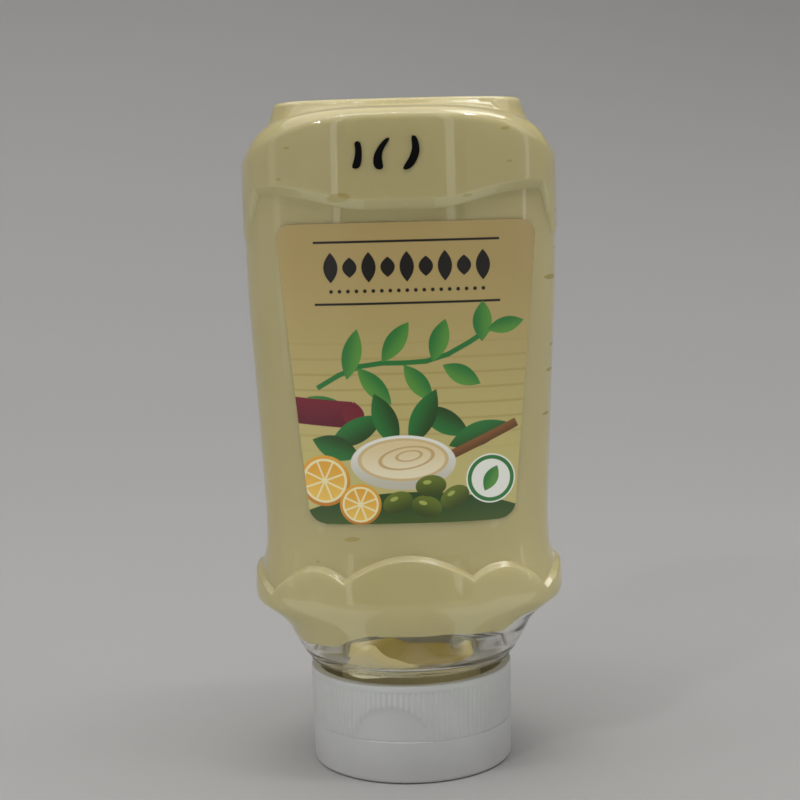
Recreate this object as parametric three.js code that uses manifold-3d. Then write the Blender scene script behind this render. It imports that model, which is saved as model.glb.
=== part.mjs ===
// A squeeze bottle of mayonnaise that stands upside down on its cap: an oval clear bottle with a
// scalloped belly, its filling, a round screw cap with a shut flip lid, and a label on each broad side.
// Millimetres, +Z up, front towards -Y, origin at the middle of the lid's underside.
import * as THREE from "three";
import { mergeVertices } from "three/addons/utils/BufferGeometryUtils.js";
import Module from "manifold-3d";

const wasm = await Module();
wasm.setup();

// Heights above the surface it stands on
const PARTING_HEIGHT = 10.5;
const CAP_HEIGHT = 25.2;
const RING_HEIGHT = 27.6;
const BASE_HEIGHT = 166.8;

// Cap and lid
const CAP_RADIUS = 25.8;
const LID_RADIUS = 25.5;
const CAP_WALL = 2.2;
const CAP_DECK = 1.6;
const LID_EDGE = 0.9;
const LID_LIP = 0.12;
const CAP_TAPER = 0.25;
const RIM_BAND = 1.5;
const GAP = 0.3;
const ROUND_SIDES = 64;
const THUMB = { angle: -102.5, halfWidth: 10, height: 8.9, depth: 1.3 };

// Oval wall of the bottle without its relief: height, half width, half depth and squareness
const OVAL = [
  [27.6, 26.8, 25.9, 2.0],
  [31.4, 28.0, 26.2, 2.1],
  [34.0, 28.6, 26.6, 2.25],
  [37.0, 29.9, 27.1, 2.4],
  [40.0, 32.5, 27.7, 2.55],
  [42.0, 35.0, 28.0, 2.65],
  [44.0, 37.3, 28.2, 2.7],
  [50.0, 37.4, 27.5, 2.8],
  [57.0, 36.1, 26.6, 2.8],
  [64.0, 35.8, 26.4, 2.8],
  [94.0, 37.1, 26.9, 2.8],
  [124.0, 38.5, 27.6, 2.8],
  [168.0, 38.6, 27.7, 2.8],
];
const WALL = 0.8;
// Neck inside the cap, and the floor that runs from its bore out to the wall
const NECK = { radius: 18, bore: 16, end: 12.4, lip: 0.6, floor: 27, floorWidth: 7.6, floorRise: 0.9 };
// Ring at the foot of the wall, over the cap's rim
const RING = { radius: 26, under: 25.3, thickness: 0.6, seat: 1 };

// Scallops that edge the belly: where their valleys stand, in degrees from the side, and their heights
const SCALLOPS = {
  valleys: [33.3, 73.1, 106.9, 146.7],
  swell: 1.5,
  clear: 4,
  steps: 8,
  planHeight: 50,
  middlePeak: 56.9,
  middleValley: 51.5,
  cornerPeak: 54.2,
  cornerValley: 47.3,
  sidePeak: 52,
};

// Upper band: it stands proud of the label panel and its lower edge runs in a wave
const BAND = { middle: 140, corner: 143.9, side: 132.5, proud: 1.3, proudAtSide: 0.45, edge: 3.2 };

// Shoulder under the base and the raised foot of the base
const SHOULDER = { wallTop: 162.2, sideDrop: 9.6, foot: 164.9, footDrop: 4.4 };
const BASE = {
  halfWidth: 32.6,
  halfDepth: 20.5,
  squareness: 3.2,
  taper: 1.9,
  edge: 0.9,
  rim: 3.2,
  pushUp: 2.4,
};

// Contents: the filling's lowest edge. It stands higher at the front, dips on the left, and has drained
// away higher up on the right, where a bank runs between two turns either side of bankTurn.
const FILLING = {
  level: 36,
  frontRise: 2,
  leftDip: 3.15,
  bank: 4.8,
  bankTurn: 5,
  ripple: 0.35,
  dome: 5,
  swell: 0.9,
};
// What clings in the neck: a sunken plug, and a lump slumped over the neck's edge
const PLUG = { top: 24.2, spill: 28.4, columns: 24 };
const LUMP = { angle: -120, reach: 19.4, halfWidth: 6.6, halfDepth: 4.9, height: 5.4 };

// Labels: widths at the upper and lower edge, how they stand on the panel, and how far the front
// one is stuck off the middle
const LABEL = {
  top: 137.4,
  bottom: 65.4,
  topWidth: 62.4,
  bottomWidth: 49.4,
  corner: 4,
  skin: 0.25,
  lift: 0.3,
};
const LABEL_SHIFT = 1.3;

const rad = THREE.MathUtils.degToRad;
const mix = THREE.MathUtils.lerp;
const ease = (t) => THREE.MathUtils.smoothstep(t, 0, 1);

// Value of column k of a table of heights, on a smooth curve through its rows
function along(table, z, k) {
  const last = table.length - 2;
  let i = table.findIndex((row) => row[0] > z) - 1;
  if (i < 0) i = z < table[0][0] ? 0 : last;
  const slope = (j) => {
    const low = table[Math.max(j - 1, 0)];
    const high = table[Math.min(j + 1, last + 1)];
    return (high[k] - low[k]) / (high[0] - low[0]);
  };
  const span = table[i + 1][0] - table[i][0];
  const t = THREE.MathUtils.clamp((z - table[i][0]) / span, 0, 1);
  const rise = table[i + 1][k] - table[i][k];
  const bend = t * (1 - t) * ((slope(i) * span - rise) * (1 - t) - (slope(i + 1) * span - rise) * t);
  return table[i][k] + rise * t + bend;
}

// Point of an oval at a turn from the side, moved out along its own normal
function ovalPoint(halfWidth, halfDepth, squareness, turn, out) {
  const c = Math.cos(turn);
  const s = Math.sin(turn);
  const power = 2 / squareness;
  const x = halfWidth * Math.sign(c) * Math.abs(c) ** power;
  const y = halfDepth * Math.sign(s) * Math.abs(s) ** power;
  const nx = (Math.sign(c) * Math.abs(c) ** (2 - power)) / halfWidth;
  const ny = (Math.sign(s) * Math.abs(s) ** (2 - power)) / halfDepth;
  const scale = out / Math.hypot(nx, ny);
  return [x + nx * scale, y + ny * scale];
}

// Plan of the wall between two turns, as a curve that can be shared out by its length
class PlanArc extends THREE.Curve {
  constructor(from, to) {
    super();
    this.from = from;
    this.to = to;
  }

  turnAt(t) {
    return rad(mix(this.from, this.to, t));
  }

  getPoint(t, target = new THREE.Vector3()) {
    const [halfWidth, halfDepth, squareness] = [1, 2, 3].map((k) => along(OVAL, SCALLOPS.planHeight, k));
    const [x, y] = ovalPoint(halfWidth, halfDepth, squareness, this.turnAt(t), 0);
    return target.set(x, y, 0);
  }
}

// Columns: each scallop has the same number, evenly far apart along the wall, so every valley and
// every peak is on one. The inside and the filling take every second column.
const VALLEYS = [...SCALLOPS.valleys, ...SCALLOPS.valleys.map((angle) => angle + 180)];
const COLUMNS = VALLEYS.flatMap((from, i) => {
  const arc = new PlanArc(from, VALLEYS[i + 1] ?? VALLEYS[0] + 360);
  return Array.from({ length: SCALLOPS.steps }, (_, step) => {
    const share = step / SCALLOPS.steps;
    return { turn: arc.turnAt(arc.getUtoTmapping(share)), scallop: i, share };
  });
});
const HALF_COLUMNS = COLUMNS.filter((_, i) => i % 2 === 0);

// Upper edge of the belly: a shallow arch between two valleys
function scallopHeight(column) {
  const kind = column.scallop % 4;
  const { middlePeak, middleValley, cornerPeak, cornerValley, sidePeak } = SCALLOPS;
  const from = [cornerValley, middleValley, middleValley, cornerValley][kind];
  const to = [middleValley, middleValley, cornerValley, cornerValley][kind];
  const peak = [cornerPeak, middlePeak, cornerPeak, sidePeak][kind];
  const arch = 1 - (2 * column.share - 1) ** 2;
  const ground = mix(from, to, column.share);
  return ground + (peak - (from + to) / 2) * arch;
}

// How far round to the side a column lies: 0 at the middle of a broad side, 1 at the narrow side
const sideness = (turn) => Math.abs(Math.cos(turn)) ** (2 / 2.8);

function bandHeight(turn) {
  const s = sideness(turn);
  const rise = ease((s - 0.2) / 0.58);
  const fall = ease((s - 0.86) / 0.11);
  return mix(mix(BAND.middle, BAND.corner, rise), BAND.side, fall);
}

// Relief on the oval wall: the belly's swell below the scallops and the band above the panel
function relief(column, z) {
  const belly = SCALLOPS.swell * ease((z - RING_HEIGHT) / 8);
  const bellyPart = 1 - ease((z - scallopHeight(column) + 0.9) / 1.8);
  const s = sideness(column.turn);
  const proud = mix(BAND.proud, BAND.proudAtSide, ease((s - 0.85) / 0.13));
  const bandPart = ease((z - bandHeight(column.turn)) / BAND.edge);
  return belly * bellyPart + proud * bandPart;
}

function wallPoint(column, z, inset) {
  const [x, y] = ovalPoint(
    along(OVAL, z, 1),
    along(OVAL, z, 2),
    along(OVAL, z, 3),
    column.turn,
    relief(column, z) - inset,
  );
  return new THREE.Vector3(x, y, z);
}

const wallRing = (columns, height, inset) =>
  columns.map((column) => wallPoint(column, height(column), inset));

// Rows of the wall from the ring to the top of the panel and band: a height for each column
const level = (z) => () => z;
const atScallop = (step) => (column) => scallopHeight(column) + step;
const atBand = (step) => (column) => bandHeight(column.turn) + step;
const wallTop = (column) => SHOULDER.wallTop - SHOULDER.sideDrop * sideness(column.turn) ** 3;
const toWallTop = (share) => (column) => mix(bandHeight(column.turn) + BAND.edge, wallTop(column), share);

// A row of the shoulder, which rounds over from the wall to the raised foot of the base
function shoulderRing(columns, share, inset) {
  return columns.map((column) => {
    const s = sideness(column.turn) ** 3;
    const wall = wallPoint(column, wallTop(column), inset);
    const [footX, footY] = ovalPoint(BASE.halfWidth, BASE.halfDepth, BASE.squareness, column.turn, -inset);
    const footZ = SHOULDER.foot - SHOULDER.footDrop * s - inset;
    const round = mix(3, 1.35, s);
    const angle = (share * Math.PI) / 2;
    const inward = 1 - Math.cos(angle) ** (2 / round);
    const up = Math.sin(angle) ** (2 / round);
    return new THREE.Vector3(
      mix(wall.x, footX, inward),
      mix(wall.y, footY, inward),
      mix(wall.z, footZ, up),
    );
  });
}

// A row of the base's raised foot or of the hollow in its underside
function baseRing(columns, shrink, z) {
  return columns.map((column) => {
    const { halfWidth, halfDepth, squareness } = BASE;
    const [x, y] = ovalPoint(halfWidth, halfDepth, squareness, column.turn, -shrink);
    return new THREE.Vector3(x, y, z);
  });
}

const roundRing = (columns, radius, z) =>
  columns.map(({ turn }) => new THREE.Vector3(radius * Math.cos(turn), radius * Math.sin(turn), z));

// Closed surface over rings, zipped together pair by pair; a ring of one point is a pole
function skin(rings) {
  const position = [];
  const index = [];
  const starts = rings.map((ring) => {
    const start = position.length / 3;
    ring.forEach((point) => position.push(point.x, point.y, point.z));
    return start;
  });
  const at = (row, i) => starts[row] + (i % rings[row].length);
  for (let row = 0; row + 1 < rings.length; row += 1) {
    const low = rings[row];
    const high = rings[row + 1];
    const lowCount = low.length > 1 ? low.length : 0;
    const highCount = high.length > 1 ? high.length : 0;
    let i = 0;
    let j = 0;
    while (i < lowCount || j < highCount) {
      const lead = lowCount && highCount ? (i + 1) / lowCount - (j + 1) / highCount : highCount - lowCount;
      const alongLow = low[(i + 1) % low.length].distanceTo(high[j % high.length]);
      const alongHigh = high[(j + 1) % high.length].distanceTo(low[i % low.length]);
      if (lead < -1e-9 || (lead < 1e-9 && alongLow < alongHigh)) {
        index.push(at(row, i), at(row, i + 1), at(row + 1, j));
        i += 1;
      } else {
        index.push(at(row, i), at(row + 1, j + 1), at(row + 1, j));
        j += 1;
      }
    }
  }
  const geometry = new THREE.BufferGeometry();
  geometry.setAttribute("position", new THREE.Float32BufferAttribute(position, 3));
  geometry.setIndex(index);
  geometry.computeVertexNormals();
  return geometry;
}

// Join and cut closed geometries
function solid(geometry) {
  const bare = geometry.clone();
  bare.deleteAttribute("normal");
  bare.deleteAttribute("uv");
  const merged = mergeVertices(bare, 1e-4);
  const vertProperties = merged.attributes.position.array;
  return new wasm.Manifold(
    new wasm.Mesh({ numProp: 3, vertProperties, triVerts: new Uint32Array(merged.index.array) }),
  );
}

function shape(manifold) {
  const mesh = manifold.getMesh();
  const geometry = new THREE.BufferGeometry();
  geometry.setAttribute("position", new THREE.BufferAttribute(mesh.vertProperties, 3));
  geometry.setIndex(new THREE.BufferAttribute(mesh.triVerts, 1));
  geometry.computeVertexNormals();
  return geometry;
}

// Profile of radius and height pairs, turned about the upright axis
function turned(profile) {
  const points = profile.map(([radius, height]) => new THREE.Vector2(radius, height));
  return new THREE.LatheGeometry(points, ROUND_SIDES).rotateX(Math.PI / 2);
}

// Quarter round under an outer edge, from the flat below to the wall
function quarter(radius, z, edge, steps) {
  return Array.from({ length: steps + 1 }, (_, i) => {
    const angle = (i / steps) * (Math.PI / 2);
    return [radius - edge + edge * Math.sin(angle), z - edge * Math.cos(angle)];
  });
}

// Rows from the belly's edge up to the base that the bottle's two faces and the filling share
function bodyRows(columns, inset, fine) {
  const scallopSteps = fine ? [-3.4, -0.9, 0, 0.9, 3] : [-0.9, 0.9];
  const panelHeights = fine ? [64, 72, 84, 97, 110, 122] : [66, 94, 122];
  const bandSteps = (fine ? [0, 0.3, 0.7, 1] : [0, 1]).map((share) => share * BAND.edge);
  const bandShares = fine ? [0.5, 1] : [1];
  const shoulderShares = fine ? [0.25, 0.5, 0.75, 1] : [0.4, 0.75, 1];
  const heights = [
    ...scallopSteps.map(atScallop),
    ...panelHeights.map(level),
    ...bandSteps.map(atBand),
    ...bandShares.map(toWallTop),
  ];
  return [
    ...heights.map((height) => wallRing(columns, height, inset)),
    ...shoulderShares.map((share) => shoulderRing(columns, share, inset)),
  ];
}

// The base's raised foot, and the hollow in its underside
function baseRows(columns, inset) {
  const top = BASE_HEIGHT - inset;
  const { taper, edge, rim, pushUp } = BASE;
  return [
    baseRing(columns, taper + inset, top - edge),
    baseRing(columns, taper + edge + inset, top),
    baseRing(columns, taper + edge + rim + inset, top - 0.2),
    baseRing(columns, taper + edge + 2.2 * rim, top - pushUp * 0.75),
    [new THREE.Vector3(0, 0, top - pushUp)],
  ];
}

// Heights of the rows between the ring over the cap and the belly's edge, which they keep clear of
const FLARE = [31, 34, 37, 40, 42.5, 44.8];
const atFlare = (z) => (column) => Math.min(z, scallopHeight(column) - SCALLOPS.clear);

function bottleGeometry() {
  const outside = [
    roundRing(COLUMNS, NECK.radius, NECK.end),
    roundRing(COLUMNS, NECK.radius, RING_HEIGHT - RING.seat),
    roundRing(COLUMNS, RING.under, RING_HEIGHT - RING.thickness),
    roundRing(COLUMNS, RING.radius, RING_HEIGHT),
    wallRing(COLUMNS, level(RING_HEIGHT + 2 * RING.thickness), 0),
    ...FLARE.map((z) => wallRing(COLUMNS, atFlare(z), 0)),
    ...bodyRows(COLUMNS, 0, true),
    ...baseRows(COLUMNS, 0),
  ];
  const inside = [
    roundRing(HALF_COLUMNS, NECK.bore, NECK.end),
    roundRing(HALF_COLUMNS, NECK.bore, NECK.floor - NECK.lip),
    roundRing(HALF_COLUMNS, NECK.bore + NECK.lip, NECK.floor),
    roundRing(HALF_COLUMNS, NECK.bore + NECK.floorWidth, NECK.floor + NECK.floorRise),
    wallRing(HALF_COLUMNS, level(RING_HEIGHT + 2 * RING.thickness), WALL),
    ...FLARE.map((z) => wallRing(HALF_COLUMNS, atFlare(z), WALL)),
    ...bodyRows(HALF_COLUMNS, WALL, false),
    ...baseRows(HALF_COLUMNS, WALL),
  ];
  return skin([...inside.reverse(), ...outside]);
}

// Lowest edge of the filling where it meets the wall
function fillingEdge({ turn }) {
  const { level: middle, frontRise, leftDip, bank, bankTurn, ripple } = FILLING;
  const wave = Math.sin(3 * turn + 0.6) + 0.6 * Math.sin(7 * turn + 2) + 0.35 * Math.sin(13 * turn);
  const dip = leftDip * ease(-Math.cos(turn) / 0.8);
  const rise = bank * ease((Math.cos(turn - rad(bankTurn)) - 0.6) / 0.12);
  return middle - frontRise * Math.sin(turn) - dip + rise + ripple * wave;
}

function fillingGeometry() {
  const inset = WALL + GAP;
  const edgeRing = wallRing(HALF_COLUMNS, fillingEdge, inset);
  const under = [0.3, 0.62, 0.86].map((share) =>
    edgeRing.map((rim, i) => {
      const swell = FILLING.swell * Math.sin(5 * HALF_COLUMNS[i].turn + 4 * share) * (1 - share);
      const z = mix(FILLING.level + FILLING.dome, rim.z, share ** 2.2) + swell;
      return new THREE.Vector3(rim.x * share, rim.y * share, z);
    }),
  );
  const flare = FLARE.slice(1).map((z, i) =>
    wallRing(
      HALF_COLUMNS,
      (column) => Math.max(atFlare(z)(column), fillingEdge(column) + GAP * (i + 1)),
      inset,
    ),
  );
  const pole = [new THREE.Vector3(0, 0, FILLING.level + FILLING.dome)];
  const body = bodyRows(HALF_COLUMNS, inset, false);
  return skin([pole, ...under, edgeRing, ...flare, ...body, ...baseRows(HALF_COLUMNS, inset)]);
}

// The plug in the neck and its lump, which lies clear over the neck's edge
function neckFillingGeometry() {
  const radius = NECK.bore - GAP;
  const low = PARTING_HEIGHT + CAP_DECK + GAP;
  const turnOfLump = rad(LUMP.angle);
  const ring = (reach, height) =>
    Array.from({ length: PLUG.columns }, (_, i) => {
      const turn = (i / PLUG.columns) * 2 * Math.PI;
      return new THREE.Vector3(reach * Math.cos(turn), reach * Math.sin(turn), height(turn));
    });
  const upper = (share) => (turn) => {
    const near = ease((Math.cos(turn - turnOfLump) - 0.35) / 0.6);
    return mix(PLUG.top, PLUG.spill, near * share ** 1.5);
  };
  const plug = skin([
    [new THREE.Vector3(0, 0, low)],
    ring(radius, level(low)),
    ...[1, 0.72, 0.4].map((share) => ring(radius * share, upper(share))),
    [new THREE.Vector3(0, 0, PLUG.top)],
  ]);
  const lump = new THREE.SphereGeometry(1, 18, 12)
    .rotateX(Math.PI / 2)
    .scale(LUMP.halfDepth, LUMP.halfWidth, LUMP.height)
    .rotateZ(turnOfLump)
    .translate(LUMP.reach * Math.cos(turnOfLump), LUMP.reach * Math.sin(turnOfLump), NECK.floor);
  const floorTop = NECK.floor + 2 * GAP;
  const floor = turned([
    [radius, low],
    [CAP_RADIUS, low],
    [CAP_RADIUS, floorTop + NECK.floorRise],
    [NECK.bore + NECK.floorWidth, floorTop + NECK.floorRise],
    [NECK.bore + NECK.lip, floorTop],
    [radius, NECK.floor - NECK.lip],
    [radius, low],
  ]);
  return shape(solid(plug).add(solid(lump).subtract(solid(floor))));
}

// A round solid bent so that its flat side follows the cap's round wall
function bentLens(halfWidth, depth, height, radius, z, angle) {
  const lens = new THREE.SphereGeometry(1, 28, 16);
  const { position } = lens.attributes;
  for (let i = 0; i < position.count; i += 1) {
    const turn = rad(angle) + (position.getX(i) * halfWidth) / radius;
    const reach = radius + position.getZ(i) * depth;
    position.setXYZ(i, reach * Math.cos(turn), reach * Math.sin(turn), z + position.getY(i) * height);
  }
  return lens;
}

function capGeometry() {
  const low = PARTING_HEIGHT + GAP / 2;
  const cup = turned([
    [0, low],
    [CAP_RADIUS - CAP_TAPER, low],
    [CAP_RADIUS - CAP_TAPER / 5, CAP_HEIGHT - RIM_BAND],
    [CAP_RADIUS, CAP_HEIGHT - RIM_BAND],
    [CAP_RADIUS, CAP_HEIGHT - GAP],
    [CAP_RADIUS - GAP, CAP_HEIGHT],
    [CAP_RADIUS - CAP_WALL, CAP_HEIGHT],
    [CAP_RADIUS - CAP_WALL, low + CAP_DECK],
    [0, low + CAP_DECK],
  ]);
  const { halfWidth, depth, height, angle } = THUMB;
  const scoop = bentLens(halfWidth, depth, height, CAP_RADIUS - CAP_TAPER, PARTING_HEIGHT, angle);
  return shape(solid(cup).subtract(solid(scoop)));
}

function lidGeometry() {
  const top = PARTING_HEIGHT - GAP / 2;
  return turned([
    [0, 0],
    ...quarter(LID_RADIUS, LID_EDGE, LID_EDGE, 4),
    [LID_RADIUS + LID_LIP, top - GAP],
    [LID_RADIUS + LID_LIP - GAP, top],
    [0, top],
  ]);
}

// A label: a thin skin with rounded corners that follows the panel on one broad side
function labelGeometry(side, shift) {
  const { top, bottom, topWidth, bottomWidth, corner, skin: thick, lift } = LABEL;
  const cornerSteps = [0, 0.08, 0.3, 0.65, 1];
  const heights = [
    ...cornerSteps.map((step) => bottom + corner * step),
    ...[0.25, 0.5, 0.75].map((share) => mix(bottom + corner, top - corner, share)),
    ...cornerSteps.toReversed().map((step) => top - corner * step),
  ];
  const across = 12;
  const sheet = (out) =>
    heights.map((z) => {
      const full = mix(bottomWidth, topWidth, (z - bottom) / (top - bottom)) / 2;
      const short = Math.max(0, corner - Math.min(z - bottom, top - z));
      const half = full - corner + Math.sqrt(corner ** 2 - short ** 2);
      const halfWidth = along(OVAL, z, 1);
      return Array.from({ length: across + 1 }, (_, i) => {
        const x = mix(-half, half, i / across) + shift * side;
        const turn = Math.acos(Math.sign(x) * Math.abs(x / halfWidth) ** 1.4);
        const [px, py] = ovalPoint(halfWidth, along(OVAL, z, 2), along(OVAL, z, 3), turn, out);
        return new THREE.Vector3(px * side, py * side, z);
      });
    });
  const back = sheet(lift);
  const face = sheet(lift + thick);
  const rings = back.map((row, i) => [...row, ...face[i].toReversed()]);
  return stripSolid(rings);
}

// Closed surface over flat loops, with each end closed by a strip between its two sides
function stripSolid(loops) {
  const position = loops.flat().flatMap((point) => point.toArray());
  const size = loops[0].length;
  const index = [];
  loops.slice(1).forEach((_, row) => {
    for (let i = 0; i < size; i += 1) {
      const a = row * size + i;
      const b = row * size + ((i + 1) % size);
      index.push(a, b, b + size, a, b + size, a + size);
    }
  });
  const close = (start, forward) => {
    for (let i = 0; i + 1 < size / 2; i += 1) {
      const quad = [start + i, start + i + 1, start + size - 2 - i, start + size - 1 - i];
      if (!forward) quad.reverse();
      index.push(quad[0], quad[2], quad[1], quad[0], quad[3], quad[2]);
    }
  };
  close(0, true);
  close((loops.length - 1) * size, false);
  const geometry = new THREE.BufferGeometry();
  geometry.setAttribute("position", new THREE.Float32BufferAttribute(position, 3));
  geometry.setIndex(index);
  geometry.computeVertexNormals();
  return geometry;
}

function piece(name, geometry, color, roughness, extra = {}) {
  const material = new THREE.MeshStandardMaterial({ color, roughness, metalness: 0, ...extra });
  const mesh = new THREE.Mesh(geometry, material);
  mesh.name = name;
  return mesh;
}

const group = new THREE.Group();
group.add(
  piece("bottle", bottleGeometry(), "#e9eceb", 0.08, { transparent: true, opacity: 0.3 }),
  piece("mayonnaise", fillingGeometry(), "#ece3b6", 0.4),
  piece("neck_mayonnaise", neckFillingGeometry(), "#e6dba6", 0.4),
  piece("cap", capGeometry(), "#f1f0ec", 0.45),
  piece("lid", lidGeometry(), "#f1f0ec", 0.45),
  piece("label_front", labelGeometry(-1, LABEL_SHIFT), "#ead29c", 0.3),
  piece("label_back", labelGeometry(1, 0), "#ead29c", 0.3),
);

export default group;
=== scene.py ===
"""Looks of the mayonnaise squeeze bottle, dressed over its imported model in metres.

The bottle stands upside down on its shut lid, with its broad label towards -Y. Each class below
is one sub-assembly that holds its own sizes, in millimetres, builds its meshes and dresses them.
"""

import logging
import math
from bisect import bisect
from collections.abc import Callable, Mapping, Sequence
from dataclasses import dataclass
from enum import Enum
from functools import cached_property
from itertools import accumulate
from typing import Any

import bmesh
import bpy
from mathutils import Matrix, Vector, noise


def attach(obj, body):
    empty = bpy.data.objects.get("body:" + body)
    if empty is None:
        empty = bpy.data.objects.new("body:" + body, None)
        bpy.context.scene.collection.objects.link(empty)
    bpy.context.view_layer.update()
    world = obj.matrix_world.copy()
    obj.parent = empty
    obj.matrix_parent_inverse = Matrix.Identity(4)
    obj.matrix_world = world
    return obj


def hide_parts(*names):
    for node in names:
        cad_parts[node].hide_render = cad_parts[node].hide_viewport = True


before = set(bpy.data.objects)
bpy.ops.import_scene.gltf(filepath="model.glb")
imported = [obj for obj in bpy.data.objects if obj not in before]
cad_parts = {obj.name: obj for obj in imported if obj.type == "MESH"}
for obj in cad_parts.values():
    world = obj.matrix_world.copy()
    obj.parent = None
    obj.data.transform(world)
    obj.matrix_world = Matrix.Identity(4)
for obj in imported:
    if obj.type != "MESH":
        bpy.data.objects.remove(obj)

MM = 0.001
Ring = list[Vector]
Line = Callable[[float], float]
Place = Callable[[float, float], tuple[float, float]]
Stroke = tuple[float, float, float, float, float]
Colour = tuple[float, float, float, float]


def mix(start: float, end: float, share: float) -> float:
    """Value a share of the way from start to end."""
    return start + (end - start) * share


def ease(share: float) -> float:
    """Share held between 0 and 1, with a soft start and a soft end."""
    held = min(max(share, 0.0), 1.0)
    return held * held * (3 - 2 * held)


def chamfer(share: float, soft: float) -> float:
    """Straight ramp from 0 to 1 whose two corners are rounded.

    Args:
        share: How far up the ramp.
        soft: Half the width of each rounded corner, as a share of the ramp.

    Returns:
        The height reached, from 0 to 1.
    """

    def knee(value: float) -> float:
        """Zero, then a parabola, then a straight line."""
        if value <= -soft:
            return 0.0
        return value if value >= soft else (value + soft) ** 2 / (4 * soft)

    return knee(share) - knee(share - 1)


def paint(code: str) -> Colour:
    """Linear colour of a hex code such as #ead29c."""
    parts = [int(code[i : i + 2], 16) / 255 for i in (1, 3, 5)]
    linear = [p / 12.92 if p <= 0.04045 else ((p + 0.055) / 1.055) ** 2.4 for p in parts]
    return (linear[0], linear[1], linear[2], 1.0)


@dataclass(frozen=True)
class BottleForm:
    """Outer form of the bottle, from the same named sizes as the part's source."""

    ring_height: float = 27.6
    base_height: float = 166.8
    wall: float = 0.8
    oval: tuple[tuple[float, float, float, float], ...] = (
        (27.6, 26.8, 25.9, 2.0),
        (31.4, 28.0, 26.2, 2.1),
        (34.0, 28.6, 26.6, 2.25),
        (37.0, 29.9, 27.1, 2.4),
        (40.0, 32.5, 27.7, 2.55),
        (42.0, 35.0, 28.0, 2.65),
        (44.0, 37.3, 28.2, 2.7),
        (50.0, 37.4, 27.5, 2.8),
        (57.0, 36.1, 26.6, 2.8),
        (64.0, 35.8, 26.4, 2.8),
        (94.0, 37.1, 26.9, 2.8),
        (124.0, 38.5, 27.6, 2.8),
        (168.0, 38.6, 27.7, 2.8),
    )
    valleys: tuple[float, ...] = (33.3, 73.1, 106.9, 146.7)
    swell: float = 1.5
    middle_peak: float = 56.9
    middle_valley: float = 51.5
    corner_peak: float = 54.2
    corner_valley: float = 47.3
    side_peak: float = 52.0
    band_middle: float = 140.0
    band_corner: float = 143.9
    band_side: float = 132.5
    band_proud: float = 1.5
    band_proud_at_side: float = 0.45
    shoulder_top: float = 161.0
    shoulder_side_drop: float = 9.6
    foot: float = 164.9
    foot_drop: float = 4.4
    base_half_width: float = 32.6
    base_half_depth: float = 20.5
    base_squareness: float = 3.2
    base_taper: float = 1.9
    base_edge: float = 0.9
    base_rim: float = 3.2
    push_up: float = 2.4
    scallop_steps: int = 32
    edge_run: float = 3.0
    panel_foot: float = 65
    panel_low: int = 69
    panel_high: int = 126
    plan_height: float = 50
    plan_samples: int = 240

    def along(self, height: float, column: int) -> float:
        """Value of one column of the oval table at a height, on a smooth curve through its rows."""
        rows = self.oval
        last = len(rows) - 2
        i = next((k for k, row in enumerate(rows) if row[0] > height), last + 1) - 1
        i = max(i, 0)

        def slope(j: int) -> float:
            """Slope of the curve at row j."""
            low, high = rows[max(j - 1, 0)], rows[min(j + 1, last + 1)]
            return (high[column] - low[column]) / (high[0] - low[0])

        span = rows[i + 1][0] - rows[i][0]
        t = min(max((height - rows[i][0]) / span, 0.0), 1.0)
        rise = rows[i + 1][column] - rows[i][column]
        ends = (slope(i) * span - rise) * (1 - t) - (slope(i + 1) * span - rise) * t
        return rows[i][column] + rise * t + t * (1 - t) * ends

    @staticmethod
    def oval_point(
        width: float, depth: float, squareness: float, turn: float, out: float
    ) -> tuple[float, float]:
        """Point of a squarish oval, moved along its own normal.

        Args:
            width: Half the oval's width.
            depth: Half its depth.
            squareness: 2 for an ellipse, more for squarer corners.
            turn: Turn from the side, in radians.
            out: How far the point moves outwards.

        Returns:
            The point's x and y.
        """
        c, s = math.cos(turn), math.sin(turn)
        power = 2 / squareness
        x = width * math.copysign(abs(c) ** power, c)
        y = depth * math.copysign(abs(s) ** power, s)
        nx = math.copysign(abs(c) ** (2 - power), c) / width
        ny = math.copysign(abs(s) ** (2 - power), s) / depth
        scale = out / math.hypot(nx, ny)
        return x + nx * scale, y + ny * scale

    @cached_property
    def plan(self) -> tuple[tuple[list[float], list[float]], ...]:
        """For each of four scallops: fine turns in degrees and the share of its length reached there."""
        size = tuple(self.along(self.plan_height, k) for k in (1, 2, 3))
        arcs = []
        for start, end in zip(self.valleys, (*self.valleys[1:], self.valleys[0] + 180)):
            turns = [mix(start, end, i / self.plan_samples) for i in range(self.plan_samples + 1)]
            points = [self.oval_point(*size, math.radians(turn), 0) for turn in turns]
            steps = [math.dist(*pair) for pair in zip(points, points[1:])]
            total = sum(steps)
            arcs.append((turns, [0.0, *(reached / total for reached in accumulate(steps))]))
        return tuple(arcs)

    @staticmethod
    def read(xs: Sequence[float], ys: Sequence[float], x: float) -> float:
        """Value at x of the broken line through rising xs and their ys."""
        i = min(max(bisect(xs, x) - 1, 0), len(xs) - 2)
        return mix(ys[i], ys[i + 1], (x - xs[i]) / (xs[i + 1] - xs[i]))

    def scallop_height(self, turn: float) -> float:
        """Upper edge of the belly at a turn: a shallow arch between two valleys."""
        angle = (math.degrees(turn) - self.valleys[0]) % 180 + self.valleys[0]
        kind = bisect(self.valleys, angle) - 1
        share = self.read(*self.plan[kind], angle)
        grounds = (self.corner_valley, self.middle_valley, self.middle_valley, self.corner_valley)
        start, end = grounds[kind], grounds[(kind + 1) % 4]
        peak = (self.corner_peak, self.middle_peak, self.corner_peak, self.side_peak)[kind]
        return mix(start, end, share) + (peak - (start + end) / 2) * (1 - (2 * share - 1) ** 2)

    @staticmethod
    def sideness(turn: float) -> float:
        """How far round to the narrow side a turn lies, from 0 to 1."""
        return abs(math.cos(turn)) ** (2 / 2.8)

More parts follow.
